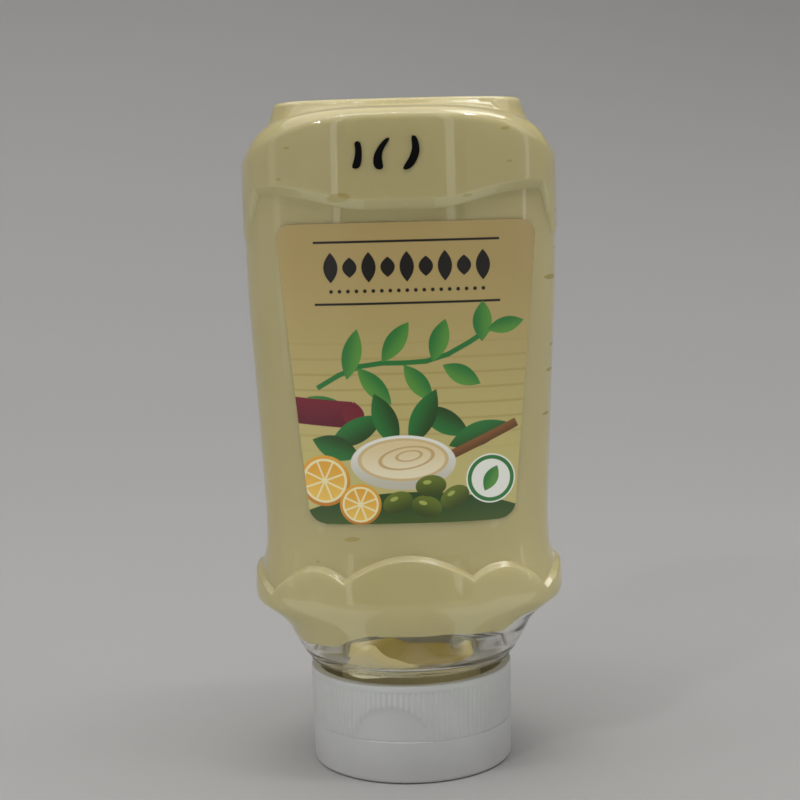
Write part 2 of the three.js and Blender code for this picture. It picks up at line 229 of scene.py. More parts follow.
    def band_height(self, turn: float) -> float:
        """Lower edge of the upper band at a turn."""
        s = self.sideness(turn)
        wave = mix(self.band_middle, self.band_corner, ease((s - 0.2) / 0.58))
        return mix(wave, self.band_side, ease((s - 0.86) / 0.11))

    def relief(self, turn: float, height: float) -> float:
        """How far the wall stands out of its plain oval."""
        belly = self.swell * ease((height - self.ring_height) / 8)
        edge = 1 - chamfer((height - self.scallop_height(turn) + 0.55) / 1.1, 0.12)
        proud = mix(self.band_proud, self.band_proud_at_side, ease((self.sideness(turn) - 0.85) / 0.13))
        band = chamfer((height - self.band_height(turn) - 0.5) / 2.2, 0.1)
        return belly * edge + proud * band

    def wall_point(self, turn: float, height: float, inset: float) -> Vector:
        """Point of the wall at a turn and a height, moved inwards by inset."""
        width, depth, squareness = (self.along(height, k) for k in (1, 2, 3))
        x, y = self.oval_point(width, depth, squareness, turn, self.relief(turn, height) - inset)
        return Vector((x, y, height))

    def wall_top(self, turn: float) -> float:
        """Height at which the wall turns over into the shoulder."""
        return self.shoulder_top - self.shoulder_side_drop * self.sideness(turn) ** 3

    def shoulder_point(self, turn: float, share: float, inset: float) -> Vector:
        """Point of the shoulder, which rounds over from the wall to the raised foot."""
        s = self.sideness(turn) ** 3
        wall = self.wall_point(turn, self.wall_top(turn), inset)
        foot_x, foot_y = self.oval_point(
            self.base_half_width, self.base_half_depth, self.base_squareness, turn, -inset
        )
        foot_z = self.foot - self.foot_drop * s - inset
        power = 2 / mix(2.3, 1.35, s)
        angle = share * math.pi / 2
        inward = 1 - abs(math.cos(angle)) ** power
        up = abs(math.sin(angle)) ** power
        return Vector((mix(wall.x, foot_x, inward), mix(wall.y, foot_y, inward), mix(wall.z, foot_z, up)))

    def base_ring(self, shrink: float, height: float) -> Ring:
        """A row of the base's raised foot, or of the hollow in its underside."""
        size = (self.base_half_width, self.base_half_depth, self.base_squareness)
        return [Vector((*self.oval_point(*size, turn, -shrink), height)) for turn in self.columns]

    def round_ring(self, radius: float, height: float) -> Ring:
        """A round row with the wall's columns."""
        return [Vector((radius * math.cos(t), radius * math.sin(t), height)) for t in self.columns]

    def wall_ring(self, height: Line, inset: float) -> Ring:
        """A row of the wall whose height may vary round the bottle."""
        return [self.wall_point(turn, height(turn), inset) for turn in self.columns]

    @cached_property
    def columns(self) -> tuple[float, ...]:
        """Turns of the columns, evenly far apart along each scallop, with one on each valley."""
        turns: list[float] = []
        for half in (0, 180):
            for fine, reached in self.plan:
                for step in range(self.scallop_steps):
                    turns.append(math.radians(half + self.read(reached, fine, step / self.scallop_steps)))
        return tuple(turns)

    def rows_between(
        self, start: Line, end: Line | None, steps: Sequence[float], inset: float
    ) -> list[Ring]:
        """Rows of the wall that follow one wavy height, or pass from it to another.

        Args:
            start: Height of the first line at a turn.
            end: Height of the second line, or None for rows that keep to the first.
            steps: Shares of the way to the second line, or else distances over the first.
            inset: How far the rows lie inside the outer face.

        Returns:
            The rows, one for each step.
        """
        if end is None:
            return [self.wall_ring(lambda t, d=d: start(t) + d, inset) for d in steps]
        return [self.wall_ring(lambda t, s=s: mix(start(t), end(t), s), inset) for s in steps]

    def body_rows(self, inset: float, fine: bool) -> list[Ring]:
        """Rows from under the belly's edge up to the foot of the base.

        Args:
            inset: How far the rows lie inside the outer face.
            fine: Whether the rows are close enough to carry crisp edges.

        Returns:
            The rows, from the lowest up.
        """
        crisp_edge = [-1.6, -1.2, *(k / 8 for k in range(-7, 8)), 1.2, 1.6]
        crisp_band = [k * 0.2 for k in range(1, 17)]
        edge_steps = crisp_edge if fine else [-0.9, -0.3, 0.3, 0.9]
        band_steps = crisp_band if fine else [0.5, 1.3, 2.0, 2.8]
        low = [crisp_edge[0] - 0.7 * k for k in range(2, 0, -1)]
        rows = self.rows_between(self.scallop_height, None, [*low, *edge_steps], inset)
        over_edge = (0.12, 0.3, 0.6, 1)
        edge_top = crisp_edge[-1]
        rows += self.rows_between(
            lambda t: self.scallop_height(t) + edge_top, lambda t: self.panel_foot, over_edge, inset
        )
        panel = range(self.panel_low, self.panel_high, 4 if fine else 10)
        rows += [self.wall_ring(lambda t, z=z: z, inset) for z in panel]
        rows += self.rows_between(lambda t: self.panel_high, self.band_height, (0.35, 0.7, 0.95), inset)
        rows += self.rows_between(self.band_height, None, band_steps, inset)
        over_band = (0.15, 0.4, 0.7, 1) if fine else (0.5, 1)
        rows += self.rows_between(lambda t: self.band_height(t) + 3.3, self.wall_top, over_band, inset)
        steps = 18 if fine else 6
        for k in range(1, steps + 1):
            share = k / steps
            rows.append([self.shoulder_point(turn, share, inset) for turn in self.columns])
        return rows

    def base_rows(self, inset: float) -> list[Ring]:
        """Rows of the raised foot and of the hollow in the base, up to its pole."""
        top = self.base_height - inset
        taper, edge = self.base_taper, self.base_edge
        rows = []
        for k in range(5):
            angle = k / 4 * math.pi / 2
            shrink = taper + edge * (1 - math.cos(angle)) + inset
            rows.append(self.base_ring(shrink, top - edge * (1 - math.sin(angle))))
        rim = taper + edge + self.base_rim
        rows.append(self.base_ring(rim + inset, top - 0.05))
        for k in range(1, 7):
            share = k / 6
            height = top - 0.05 - self.push_up * 0.85 * ease(share)
            rows.append(self.base_ring(rim + self.base_rim * share + inset, height))
        rows.append([Vector((0, 0, top - self.push_up))])
        return rows


FORM = BottleForm(scallop_steps=32)


def set_out(mesh: bmesh.types.BMesh, name: str, finish: bpy.types.Material) -> bpy.types.Object:
    """Turns a mesh into an object at the origin, with one finish.

    Args:
        mesh: The mesh, which is used up.
        name: The object's name.
        finish: Its material.

    Returns:
        The object.
    """
    data = bpy.data.meshes.new(name)
    mesh.to_mesh(data)
    mesh.free()
    data.materials.append(finish)
    piece = bpy.data.objects.new(name, data)
    bpy.context.scene.collection.objects.link(piece)
    return piece


class Skin:
    """A closed skin that is ready to be dressed."""

    def __init__(self, mesh: bmesh.types.BMesh) -> None:
        """Takes a closed mesh, in metres."""
        self.mesh = mesh

    @classmethod
    def grown(cls, rows: Sequence[Ring]) -> "Skin":
        """Grows a skin ring by ring from bmesh's circle and extrusion.

        Args:
            rows: Rings of points in millimetres; the first and the last are poles of one point.

        Returns:
            The skin.
        """
        mesh = bmesh.new()
        column = mesh.verts.layers.int.new("column")
        first = rows[1]
        made = bmesh.ops.create_circle(mesh, cap_ends=True, cap_tris=True, segments=len(first), radius=1)
        pole = min(made["verts"], key=lambda v: v.co.length)
        pole.co = rows[0][0] * MM
        ring = [v for v in made["verts"] if v is not pole]
        ring.sort(key=lambda v: math.atan2(v.co.y, v.co.x) % math.tau)
        for i, vert in enumerate(ring):
            vert[column] = i
            vert.co = first[i] * MM
        edges = [e for e in mesh.edges if pole not in e.verts]
        for row in rows[2:]:
            grown = bmesh.ops.extrude_edge_only(mesh, edges=edges)["geom"]
            edges = [g for g in grown if isinstance(g, bmesh.types.BMEdge)]
            ring = [g for g in grown if isinstance(g, bmesh.types.BMVert)]
            for vert in ring:
                vert.co = row[vert[column] if len(row) > 1 else 0] * MM
        bmesh.ops.pointmerge(mesh, verts=ring, merge_co=rows[-1][0] * MM)
        mesh.verts.layers.int.remove(column)
        return cls(mesh)

    def finished(self, name: str, finish: bpy.types.Material, sharp: float = 180.0) -> bpy.types.Object:
        """Turns the skin into a finished object.

        Args:
            name: The object's name.
            finish: Its material.
            sharp: Edges that turn by more than this many degrees stay crisp.

        Returns:
            The object, at the origin, with outward faces.
        """
        bmesh.ops.recalc_face_normals(self.mesh, faces=self.mesh.faces)
        piece = set_out(self.mesh, name, finish)
        piece.data.shade_smooth()
        if sharp < 180:
            piece.data.set_sharp_from_angle(angle=math.radians(sharp))
        return piece


class Term:
    """A shader value that takes part in sums, so that shader maths reads as an expression."""

    def __init__(self, recipe: "Recipe", socket: bpy.types.NodeSocket) -> None:
        """Wraps one output socket of a recipe."""
        self.recipe = recipe
        self.socket = socket

    def _with(self, operation: str, first: Any, second: Any) -> "Term":
        """One Math node over two values."""
        return self.recipe.node("ShaderNodeMath", {"operation": operation}, {0: first, 1: second})

    def __add__(self, other: "Term | float") -> "Term":
        """Sum."""
        return self._with("ADD", self, other)

    def __sub__(self, other: "Term | float") -> "Term":
        """Difference."""
        return self._with("SUBTRACT", self, other)

    def __rsub__(self, other: "Term | float") -> "Term":
        """Difference from a number."""
        return self._with("SUBTRACT", other, self)

    def __mul__(self, other: "Term | float") -> "Term":
        """Product."""
        return self._with("MULTIPLY", self, other)

    def __abs__(self) -> "Term":
        """Size without its sign."""
        return self._with("ABSOLUTE", self, 0.0)

    __radd__ = __add__
    __rmul__ = __mul__

    def above(self, limit: float, soft: float) -> "Term":
        """Mask that rises from 0 to 1 as the value passes a limit."""
        return self.recipe.node(
            "ShaderNodeMapRange",
            {"interpolation_type": "SMOOTHSTEP"},
            {0: self, 1: limit - soft, 2: limit + soft, 3: 0.0, 4: 1.0},
        )

    def below(self, limit: float, soft: float) -> "Term":
        """Mask that falls from 1 to 0 as the value passes a limit."""
        return self.recipe.node(
            "ShaderNodeMapRange",
            {"interpolation_type": "SMOOTHSTEP"},
            {0: self, 1: limit - soft, 2: limit + soft, 3: 1.0, 4: 0.0},
        )


class Recipe:
    """A material under construction."""

    def __init__(self, name: str) -> None:
        """Starts a material with one Principled shader.

        Args:
            name: The material's name.
        """
        self.material = bpy.data.materials.new(name)
        self.material.use_nodes = True
        self.tree = self.material.node_tree
        self.tree.nodes.clear()
        output = self.tree.nodes.new("ShaderNodeOutputMaterial")
        self.shader = self.tree.nodes.new("ShaderNodeBsdfPrincipled")
        self.tree.links.new(self.shader.outputs[0], output.inputs["Surface"])

    def _feed(self, socket: bpy.types.NodeSocket, value: Any) -> None:
        """Links a term to a socket, or sets the socket's own value."""
        if isinstance(value, Term):
            self.tree.links.new(value.socket, socket)
        else:
            socket.default_value = value

    def node(
        self,
        kind: str,
        settings: Mapping[str, Any] | None = None,
        inputs: Mapping[int | str, Any] | None = None,
        output: int | str = 0,
    ) -> Term:
        """Adds a node.

        Args:
            kind: The node's type.
            settings: Its settings, which are set first.
            inputs: Values or terms of its sockets.
            output: The socket that is handed on.

        Returns:
            The node's output as a term.
        """
        made = self.tree.nodes.new(kind)
        for key, value in (settings or {}).items():
            setattr(made, key, value)
        for key, value in (inputs or {}).items():
            self._feed(made.inputs[key], value)
        return Term(self, made.outputs[output])

    def place(self) -> Term:
        """Object coordinates, in metres."""
        return self.node("ShaderNodeTexCoord", output="Object")

    def grain(self, scale: float, detail: float, stretch: tuple[float, float, float] = (1, 1, 1)) -> Term:
        """Soft noise between 0 and 1.

        Args:
            scale: Cells to the metre.
            detail: Octaves of finer noise.
            stretch: Factors on the three axes.

        Returns:
            The noise.
        """
        vector = self.node("ShaderNodeMapping", {}, {"Vector": self.place(), "Scale": stretch})
        return self.node(
            "ShaderNodeTexNoise", {}, {"Vector": vector, "Scale": scale, "Detail": detail, "Roughness": 0.5}
        )

    def blend(self, share: Term | float, first: Any, second: Any) -> Term:
        """Colour between two colours."""
        return self.node("ShaderNodeMix", {"data_type": "RGBA"}, {0: share, 6: first, 7: second}, 2)

    def local(
        self, flat: Term, centre: tuple[float, float], size: tuple[float, float], turn: float
    ) -> tuple[Term, Term]:
        """Coordinates inside a spot, where its edge is at 1.

        Args:
            flat: Coordinates that the spot is laid on, across along X and up along Z.
            centre: Its middle.
            size: Its half sizes.
            turn: Its turn in degrees, anticlockwise as seen from the front.

        Returns:
            How far across and how far up a point is.
        """
        c, s = math.cos(math.radians(turn)), math.sin(math.radians(turn))
        parts = []
        for along, half in (((c, s), size[0]), ((-s, c), size[1])):
            axis = (along[0] / half, 0.0, along[1] / half)
            middle = (along[0] * centre[0] + along[1] * centre[1]) / half
            parts.append(self.along(flat, axis) - middle)
        return parts[0], parts[1]

    def along(self, vector: Term, axis: tuple[float, float, float]) -> Term:
        """How far a vector reaches along an axis."""
        return self.node("ShaderNodeVectorMath", {"operation": "DOT_PRODUCT"}, {0: vector, 1: axis}, "Value")

    def part(self, vector: Term, name: str) -> Term:
        """The X, Y or Z part of a vector."""
        return self.along(vector, tuple(float(name == axis) for axis in "XYZ"))

    def bump(self, height: Term, strength: float, distance: float) -> Term:
        """Normal shaken by a height."""
        return self.node("ShaderNodeBump", {}, {"Height": height, "Strength": strength, "Distance": distance})

    def finish(self, sockets: Mapping[str, Any]) -> bpy.types.Material:
        """Feeds the shader and hands the material over."""
        for key, value in sockets.items():
            self._feed(self.shader.inputs[key], value)
        return self.material


@dataclass(frozen=True)
class ClearPlastic:
    """Clear blown plastic of the bottle."""

    tint: Colour = (0.97, 0.97, 0.955, 1.0)
    roughness: float = 0.035
    index: float = 1.52
    # painted glow: colour and strength of the light the plastic gives off by itself low on the shoulder
    haze_glow: Colour = (0.9, 0.8, 0.62, 1.0)
    haze_glow_strength: float = 0.006
    haze_glow_top: float = 34.5
    haze_glow_soft: float = 2.5

    def build(self) -> bpy.types.Material:
        """Makes the material, with a faint painted glow low on the shoulder, in the place of light caught by
        the milky film where it has been wetted.
        """
        recipe = Recipe("clear_plastic_finish")
        # painted glow, only below the milky film's top
        low = recipe.part(recipe.place(), "Z").below(self.haze_glow_top * MM, self.haze_glow_soft * MM)
        return recipe.finish(
            {
                "Base Color": self.tint,
                "Roughness": self.roughness,
                "IOR": self.index,
                "Transmission Weight": 1.0,
                "Emission Color": recipe.blend(low, (0, 0, 0, 1), self.haze_glow),
                "Emission Strength": self.haze_glow_strength,
            }
        )


@dataclass(frozen=True)
class Speck:
    """A flat void under the wall, where oil shows darker: its middle and half sizes.

    On the narrow side, x counts along the depth instead of the width.
    """

    x: float
    z: float
    width: float
    height: float


@dataclass(frozen=True)
class Cream:
    """The filling: pale yellow, satin, with a few voids against the wall.

    The part of it inside an ellipse, below the glow's top, shines a little by itself: a painted glow
    in the place of light scattered inside the cream. The pit is the hollow of the plug in the neck,
    painted olive for the oil's own tint and for painted shade in the hollow.
    """

    name: str
    pale: Colour
    deep: Colour
    oil: Colour
    roughness: float = 0.42
    specks: tuple[Speck, ...] = ()
    side_specks: tuple[Speck, ...] = ()
    side_oil: Colour = paint("#c8b64c")
    front_face: float = -18
    side_face: float = 30
    lean: float = 4
    # painted glow: strength of the light the cream gives off by itself
    glow: float = 0.0
    glow_within: tuple[float, float] = (30, 27)
    glow_top: float = 44
    # olive of the plug's hollow: the oil's own tint with painted shade of the recess
    pit: Colour | None = None
    pit_level: float = 25.2

    @staticmethod
    def voids(
        recipe: Recipe,
        colour: Term,
        flat: Term,
        face: Term,
        specks: Sequence[Speck],
        oil: Colour,
        lean: float,
    ) -> Term:
        """Lays the voids of one face over a colour.

        Args:
            recipe: The material under construction.
            colour: The colour below the voids.
            flat: Coordinates that they are laid on.
            face: Mask of the face that they belong to.
            specks: The voids.
            oil: Their colour.
            lean: Their turn in degrees.

        Returns:
            The colour with the voids in it.
        """
        for speck in specks:
            size = (speck.width * MM, speck.height * MM)
            across, up = recipe.local(flat, (speck.x * MM, speck.z * MM), size, lean)
            mask = (across * across + up * up).below(0.9, 0.35)
            colour = recipe.blend(mask * face, colour, oil)
        return colour

    def pinpricks(self, recipe: Recipe) -> Term:
        """Mask of tiny voids strewn at random."""
        stretch = {"Vector": recipe.place(), "Scale": (0.55, 0.55, 1.0)}
        cells = recipe.node("ShaderNodeMapping", {}, stretch)
        spots = {"Vector": cells, "Scale": 210.0, "Randomness": 1.0}
        reach = recipe.node("ShaderNodeTexVoronoi", {}, spots, "Distance")
        choice = recipe.part(recipe.node("ShaderNodeTexVoronoi", {}, spots, "Color"), "X")
        return reach.below(0.085, 0.03) * choice.above(0.985, 0.004)

    def core(self, recipe: Recipe) -> Term:
        """How far out a point lies: 1 on the ellipse that the glow keeps within."""
        place = recipe.place()
        wide = recipe.part(place, "X") * (1 / (self.glow_within[0] * MM))
        deep = recipe.part(place, "Y") * (1 / (self.glow_within[1] * MM))
        return wide * wide + deep * deep

    def stain_and_shade(self, recipe: Recipe, core: Term) -> Term:
        """Mask of the plug's hollow and of what lies behind it, up to the neck's wall, where the oil's tint
        and painted shade go.
        """
        place = recipe.place()
        low = recipe.part(place, "Z").below(self.pit_level * MM, 1.6 * MM) * core.below(0.92, 0.06)
        behind = recipe.part(place, "Y").above(5 * MM, 4 * MM)
        behind = behind * abs(recipe.part(place, "X") - MM).below(10.5 * MM, 3.5 * MM)
        return low + behind - low * behind

    def build(self) -> bpy.types.Material:
        """Makes the material."""
        recipe = Recipe(self.name)
        place = recipe.place()
        colour = recipe.blend(recipe.grain(38, 2).above(0.5, 0.28), self.pale, self.deep)
        if self.specks:
            front = recipe.part(place, "Y").below(self.front_face * MM, MM)
            colour = self.voids(recipe, colour, place, front, self.specks, self.oil, self.lean)
        if self.side_specks:
            turned = {"X": recipe.part(place, "Y"), "Z": recipe.part(place, "Z")}
            flat = recipe.node("ShaderNodeCombineXYZ", {}, turned)
            side = recipe.part(place, "X").above(self.side_face * MM, MM)
            colour = self.voids(recipe, colour, flat, side, self.side_specks, self.side_oil, 0)
        small = self.pinpricks(recipe)
        colour = recipe.blend(small, colour, self.oil)
        height = recipe.grain(260, 3) * 0.4 - small
        rise = recipe.part(place, "Z")
        core = self.core(recipe)
        # painted glow: where the cream shines by itself, inside the ellipse and fading out below the glow's
        # top
        inside = core.below(0.98, 0.1) * rise.below(self.glow_top * MM, 3 * MM)
        glow_fringe = rise.below((self.glow_top - 2) * MM, 8 * MM) * 0.12
        # painted shade with the oil's olive tint, in the plug's hollow and at the back of the bore
        if self.pit is not None:
            colour = recipe.blend(self.stain_and_shade(recipe, core), colour, self.pit)
        return recipe.finish(
            {
                "Base Color": colour,
                "Roughness": self.roughness,
                "Normal": recipe.bump(height, 0.12, 0.0004),
                "Emission Color": recipe.blend(inside * 0.88 + glow_fringe, (0, 0, 0, 1), colour),
                "Emission Strength": self.glow,
            }
        )


@dataclass(frozen=True)
class WhitePlastic:
    """White moulded plastic of the cap and its lid."""

    pale: Colour = paint("#d0d0cf")
    deep: Colour = paint("#cbcbca")
    roughness: float = 0.4

    def build(self) -> bpy.types.Material:
        """Makes the material."""
        recipe = Recipe("cap_plastic_finish")
        tone = recipe.grain(90, 3).above(0.5, 0.3)
        fine = recipe.grain(2400, 2)
        return recipe.finish(
            {
                "Base Color": recipe.blend(tone, self.pale, self.deep),
                "Roughness": tone * 0.06 + self.roughness,
                "Normal": recipe.bump(fine, 0.08, 0.0001),
            }
        )


class Shape(Enum):
    """Plain shapes of the label's print."""

    DISC = "disc"
    LEAF = "leaf"
    BAR = "bar"
    RING = "ring"


@dataclass(frozen=True)
class Mark:
    """One plain shape of the print, in millimetres from the label's middle line and the floor."""

    shape: Shape
    x: float
    z: float
    width: float
    height: float
    colour: Colour
    turn: float = 0.0
    shade: Colour | None = None
    line: float = 0.12


class Side(Enum):
    """The two broad sides, as the direction of depth that each looks to."""

    FRONT = -1
    BACK = 1


GREEN = paint("#2f7a3a")
LEAF_GREEN = paint("#5f9a41")
DARK_GREEN = paint("#2a4a1f")
OLIVE = paint("#6c7a2a")
INK = paint("#1d1a16")
WINE = paint("#7a2230")
LEMON = paint("#eaa93a")
PITH = paint("#f6e7b4")
DISH = paint("#f1eee6")
SAUCE = paint("#e8cfa0")
WOOD = paint("#8a5a30")


def generic_print() -> tuple[Mark, ...]:
    """Plain design of the label: two rules with a row of lozenges, a sprig, and a still life."""
    marks = [
        Mark(Shape.BAR, 0, 133.0, 22, 0.28, INK),
        Mark(Shape.BAR, 0, 118.4, 22, 0.28, INK),
    ]
    for k in range(-4, 5):
        tall = k % 2 == 0
        marks.append(Mark(Shape.LEAF, k * 4.5, 127.0, 3.6 if tall else 2.4, 1.7, INK, 90))
    for k in range(-9, 10):
        marks.append(Mark(Shape.DISC, k * 2.0, 121.4, 0.45, 0.45, INK))
    stem = [(-22 + 5.2 * k, 98.5 + 1.55 * k + 2.0 * math.sin(k * 0.85)) for k in range(9)]
    for k, ((x, z), (x2, z2)) in enumerate(zip(stem, stem[1:])):
        lean = math.degrees(math.atan2(z2 - z, x2 - x))
        marks.append(Mark(Shape.BAR, (x + x2) / 2, (z + z2) / 2, 3.1, 0.6, GREEN, lean))
        side = 1 if k % 2 else -1
        length = 6.4 - 0.22 * k
        marks.append(
            Mark(Shape.LEAF, x + 3.2, z + side * 4.9, length, 2.3, GREEN, lean + side * 56, LEAF_GREEN)
        )
    marks.append(Mark(Shape.LEAF, stem[-1][0] + 3.6, stem[-1][1] + 0.6, 4.6, 1.9, GREEN, 12, LEAF_GREEN))
    marks.append(Mark(Shape.BAR, -21.5, 92.6, 7.5, 3.2, WINE, -5, paint("#64192a")))
    marks.append(Mark(Shape.LEAF, -13.6, 91.9, 3.2, 2.6, WINE, 85))
    for turn, x, z, size in (
        (28, -13, 88.0, 7.5),
        (150, 8, 90.0, 7.0),
        (64, 3, 91.0, 7.5),
        (112, -6, 90.5, 7.0),
        (20, 16, 86.5, 7.5),
        (160, -18, 84.0, 6.0),
    ):
        marks.append(Mark(Shape.LEAF, x, z, size, 2.9, GREEN, turn, DARK_GREEN))
    marks += [
        Mark(Shape.DISC, 0, 62.5, 31, 10.5, DARK_GREEN, 0, OLIVE),
        Mark(Shape.BAR, 15, 84.2, 11.5, 1.1, WOOD, 24, paint("#6b4422")),
        Mark(Shape.DISC, -2, 80.2, 12.6, 6.6, DISH, 0, paint("#c9c2b2")),
        Mark(Shape.DISC, -2, 80.9, 10.9, 5.2, paint("#d9bd8b")),
        Mark(Shape.DISC, -2, 80.9, 10.0, 4.6, SAUCE, 0, paint("#f4e6c6")),
        Mark(Shape.RING, -1.2, 81.3, 6.4, 2.6, paint("#cfae78"), 8, None, 0.07),
        Mark(Shape.RING, -0.6, 81.8, 3.0, 1.2, paint("#cfae78"), 8, None, 0.12),
    ]
    for x, z, size in ((-21.0, 76.0, 6.2), (-12.5, 70.2, 5.0)):
        marks += [
            Mark(Shape.DISC, x, z, size, size, LEMON, 0, paint("#c97f22")),
            Mark(Shape.DISC, x, z, size * 0.87, size * 0.87, PITH),
            Mark(Shape.DISC, x, z, size * 0.77, size * 0.77, LEMON, 0, paint("#f2c35a")),
        ]
        marks += [Mark(Shape.BAR, x, z, size * 0.8, 0.22, PITH, 20 + 45 * k) for k in range(4)]
    for x, z, turn in ((-3.5, 70.5, 20), (3.4, 69.4, -15), (10.2, 71.5, 30), (4.5, 74.4, 5)):
        marks.append(Mark(Shape.DISC, x, z, 3.7, 2.6, OLIVE, turn, paint("#3c4a17")))
        marks.append(Mark(Shape.DISC, x - 0.9, z + 0.9, 1.0, 0.5, paint("#aab35c"), turn))
    marks += [
        Mark(Shape.DISC, 19.0, 75.6, 6.0, 6.0, paint("#f3f1ea")),
        Mark(Shape.RING, 19.0, 75.6, 5.2, 5.2, GREEN, 0, None, 0.09),
        Mark(Shape.LEAF, 19.0, 75.6, 3.4, 1.7, GREEN, 62, LEAF_GREEN),
    ]
    return tuple(marks)


@dataclass(frozen=True)
class PrintedFilm:
    """Printed film of both labels: a warm ground with plain shapes on it."""

    shift: float
    upper: Colour = paint("#b89f69")
    lower: Colour = paint("#cabd7b")
    sketch: Colour = paint("#ad9656")
    roughness: float = 0.33

    def mask(self, mark: Mark, across: Term, up: Term) -> Term:
        """Mask of one mark: 1 on it and 0 off it."""
        soft = 0.09 / min(mark.width, mark.height)
        if mark.shape is Shape.DISC:
            return (across * across + up * up).below(1, 2 * soft)
        if mark.shape is Shape.RING:
            return abs(across * across + up * up - 1).below(2 * mark.line, 2 * soft)
        if mark.shape is Shape.LEAF:
            return (abs(up) + across * across).below(1, soft)
        return abs(up).below(1, 0.09 / mark.height) * abs(across).below(1, 0.09 / mark.width)

    def build(self) -> bpy.types.Material:
        """Makes the material."""
        recipe = Recipe("label_film_finish")
        place = recipe.place()
        front = recipe.part(place, "Y").below(0, 0.001)
        across = recipe.part(place, "X") * (front * 2 - 1) * (1 / MM) - front * self.shift
        up = recipe.part(place, "Z") * (1 / MM)
        flat = recipe.node("ShaderNodeCombineXYZ", {}, {"X": across, "Z": up})
        height = recipe.part(flat, "Z")
        colour = recipe.blend(height.above(102, 34), self.lower, self.upper)
        waves = recipe.node(
            "ShaderNodeTexWave",
            {"wave_type": "BANDS", "bands_direction": "Z"},
            {"Vector": flat, "Scale": 0.085, "Distortion": 6.0, "Detail": 1.0, "Detail Scale": 0.05},
            "Fac",
        )
        fields = height.below(108, 6) * height.above(86, 6)
        colour = recipe.blend(waves.above(0.93, 0.05) * fields * 0.55, colour, self.sketch)
        for mark in generic_print():
            across, up = recipe.local(flat, (mark.x, mark.z), (mark.width, mark.height), mark.turn)
            ink: Any = mark.colour
            if mark.shade is not None:
                ink = recipe.blend(up.above(0, 1.0), mark.shade, mark.colour)
            colour = recipe.blend(self.mask(mark, across, up), colour, ink)
        return recipe.finish(
            {
                "Base Color": colour,
                "Roughness": self.roughness,
                "Normal": recipe.bump(recipe.grain(900, 2), 0.03, 0.0001),
            }
        )


@dataclass(frozen=True)
class PlainFinish:
    """A finish of one tone with a faint grain in its colour, such as ink or a floor."""

    name: str
    pale: Colour
    deep: Colour
    roughness: float
    scale: float
    sheen: float = 0.5

    def build(self) -> bpy.types.Material:
        """Makes the material."""
        recipe = Recipe(self.name)
        tone = recipe.grain(self.scale, 3).above(0.5, 0.3)
        return recipe.finish(
            {
                "Base Color": recipe.blend(tone, self.pale, self.deep),
                "Roughness": self.roughness,
                "Specular IOR Level": self.sheen,
            }
        )


@dataclass(frozen=True)
class FloorFinish:
    """Finish of the pale floor, with painted shade: darker as it curves up and towards the right, where less
    light falls.
    """

    pale: Colour = paint("#b4b3b1")
    # painted shade of the backdrop's upper part
    high: Colour = paint("#969593")
    # painted shade of the backdrop's right part
    right: Colour = paint("#8b8a87")

    def build(self) -> bpy.types.Material:
        """Makes the material."""
        recipe = Recipe("pale_floor_finish")
        place = recipe.place()
        # painted shade: darker as the backdrop rises
        colour = recipe.blend(recipe.part(place, "Z").above(0.4, 0.4), self.pale, self.high)
        # painted shade: darker towards the right of the backdrop
        right_shade = recipe.part(place, "X").above(0.35, 0.7) * recipe.part(place, "Z").above(0.2, 0.3)
        colour = recipe.blend(right_shade * 0.75, colour, self.right)
        grain = recipe.grain(6, 3).above(0.5, 0.3) * 0.03
        return recipe.finish({"Base Color": recipe.blend(grain, colour, self.right), "Roughness": 0.7})


def hand_over(piece: bpy.types.Object, slot: str, *nodes: str) -> None:
    """Lets a piece ride on the part's one body and hides the nodes that it stands for."""
    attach(piece, "root")
    if nodes:
        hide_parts(*nodes)
    logging.info("%s: %d faces", piece.name, len(piece.data.polygons))


